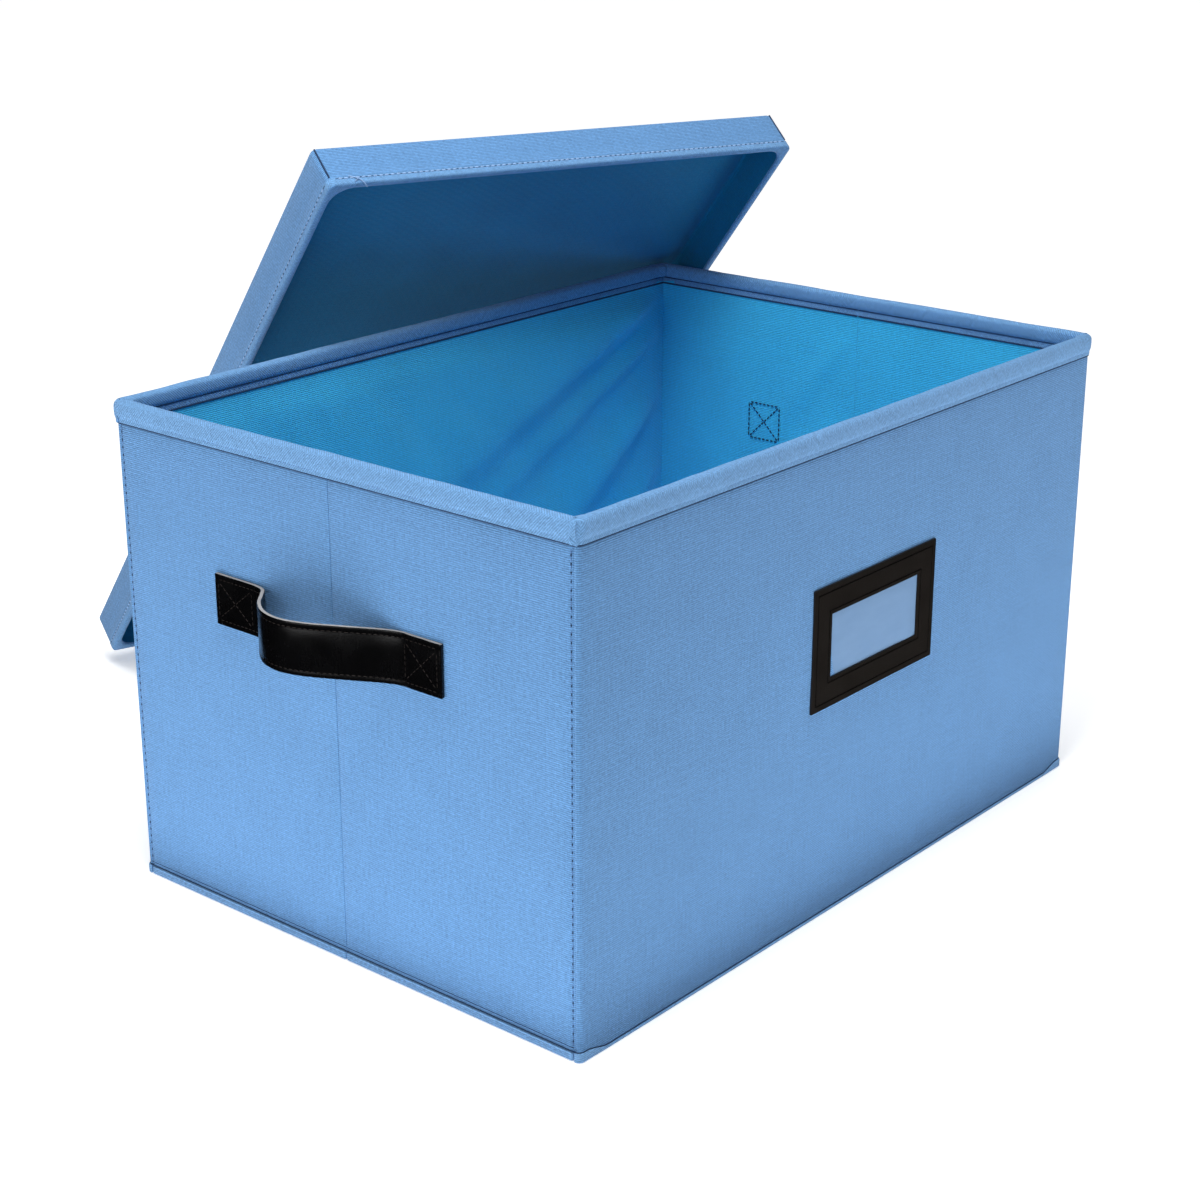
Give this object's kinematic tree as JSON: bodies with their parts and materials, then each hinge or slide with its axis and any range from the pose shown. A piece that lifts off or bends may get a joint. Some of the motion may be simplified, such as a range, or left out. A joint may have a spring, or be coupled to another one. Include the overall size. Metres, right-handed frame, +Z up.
{
  "type": "collapsible storage crate",
  "caption": "Fabric-covered storage crate that folds flat, with strap handles, a label holder and a lift-off lid leaning on one corner of the rim.",
  "frame": {"origin": "centre of the crate's underside, on the base's fold line", "axes": "+X along the crate's long side, -Y out of the wall with the label holder, +Z up"},
  "size_m": [0.4957, 0.5523, 0.3542],
  "materials": {
    "outer_canvas": "matte woven canvas",
    "rim_band": "matte woven canvas, folded and stitched",
    "inner_lining": "matte woven lining",
    "lid_lining": "matte woven lining, deep blue",
    "lid_hem": "matte woven canvas, rolled and stitched",
    "stiffening_board": "plain pressed board",
    "handle_strap": "semi-gloss faux leather",
    "label_leatherette": "semi-gloss faux leather",
    "clear_film": "clear flexible plastic film"
  },
  "bodies": {
    "front_wall": {"front_wall_cover": "outer_canvas", "front_wall_board": "stiffening_board", "front_wall_lining": "inner_lining", "front_wall_rim_binding": "rim_band", "front_base_strip": "outer_canvas", "label_frame": "label_leatherette", "label_window": "clear_film"},
    "back_wall": {"back_wall_cover": "outer_canvas", "back_wall_board": "stiffening_board", "back_wall_lining": "inner_lining", "back_wall_rim_binding": "rim_band", "back_base_strip": "outer_canvas"},
    "left_end_near": {"left_end_near_cover": "outer_canvas", "left_end_near_board": "stiffening_board", "left_end_near_lining": "inner_lining", "left_end_near_rim_binding": "rim_band", "left_handle_near_tab": "handle_strap", "left_handle_loop": "handle_strap"},
    "left_end_far": {"left_end_far_cover": "outer_canvas", "left_end_far_board": "stiffening_board", "left_end_far_lining": "inner_lining", "left_end_far_rim_binding": "rim_band", "left_handle_far_tab": "handle_strap"},
    "right_end_near": {"right_end_near_cover": "outer_canvas", "right_end_near_board": "stiffening_board", "right_end_near_lining": "inner_lining", "right_end_near_rim_binding": "rim_band", "right_handle_near_tab": "handle_strap", "right_handle_loop": "handle_strap"},
    "right_end_far": {"right_end_far_cover": "outer_canvas", "right_end_far_board": "stiffening_board", "right_end_far_lining": "inner_lining", "right_end_far_rim_binding": "rim_band", "right_handle_far_tab": "handle_strap"},
    "base_front": {"base_front_cover": "outer_canvas", "base_front_board": "stiffening_board", "base_front_lining": "inner_lining"},
    "base_back": {"base_back_cover": "outer_canvas", "base_back_board": "stiffening_board", "base_back_lining": "inner_lining"},
    "lid": {"lid_top_cover": "outer_canvas", "lid_top_board": "stiffening_board", "lid_top_lining": "lid_lining", "lid_upper_skirt": "outer_canvas", "lid_upper_hem": "lid_hem", "lid_lower_skirt": "outer_canvas", "lid_lower_hem": "lid_hem", "lid_left_skirt": "outer_canvas", "lid_left_hem": "lid_hem", "lid_right_skirt": "outer_canvas", "lid_right_hem": "lid_hem"}
  },
  "joints": [
    {"name": "fold", "type": "hinge", "parent": "front_wall", "child": "left_end_near", "pos_m": [-0.2059, -0.1421, 0.127], "axis": [0, 0, -1], "range_deg": [0, 84], "deforming": ["left_handle_loop"]},
    {"name": "left_end_crease", "type": "hinge", "parent": "left_end_near", "child": "left_end_far", "pos_m": [-0.2107, 0, 0.127], "axis": [0, 0, 1], "range_deg": [0, 168]},
    {"name": "left_back_corner", "type": "hinge", "parent": "left_end_far", "child": "back_wall", "pos_m": [-0.2059, 0.1421, 0.127], "axis": [0, 0, -1], "range_deg": [0, 84]},
    {"name": "right_front_corner", "type": "hinge", "parent": "front_wall", "child": "right_end_near", "pos_m": [0.2059, -0.1421, 0.127], "axis": [0, 0, 1], "range_deg": [0, 84], "deforming": ["right_handle_loop"]},
    {"name": "right_end_crease", "type": "hinge", "parent": "right_end_near", "child": "right_end_far", "pos_m": [0.2107, 0, 0.127], "axis": [0, 0, -1], "range_deg": [0, 168]},
    {"name": "base_front_fold", "type": "hinge", "parent": "front_wall", "child": "base_front", "pos_m": [0, -0.1421, 0], "axis": [-1, 0, 0], "range_deg": [0, 84]},
    {"name": "base_crease", "type": "hinge", "parent": "base_front", "child": "base_back", "pos_m": [0, 0, 0.0048], "axis": [1, 0, 0], "range_deg": [0, 168]},
    {"name": "lid_lift", "type": "slide", "parent": "front_wall", "child": "lid", "axis": [0, 0, 1], "range_m": [0, 0.3]}
  ],
  "couplings": [
    {"joint": "left_end_crease", "follows": "fold", "ratio": 2},
    {"joint": "left_back_corner", "follows": "fold", "ratio": 1},
    {"joint": "right_front_corner", "follows": "fold", "ratio": 1},
    {"joint": "right_end_crease", "follows": "fold", "ratio": 2},
    {"joint": "base_front_fold", "follows": "fold", "ratio": 1},
    {"joint": "base_crease", "follows": "fold", "ratio": 2}
  ]
}
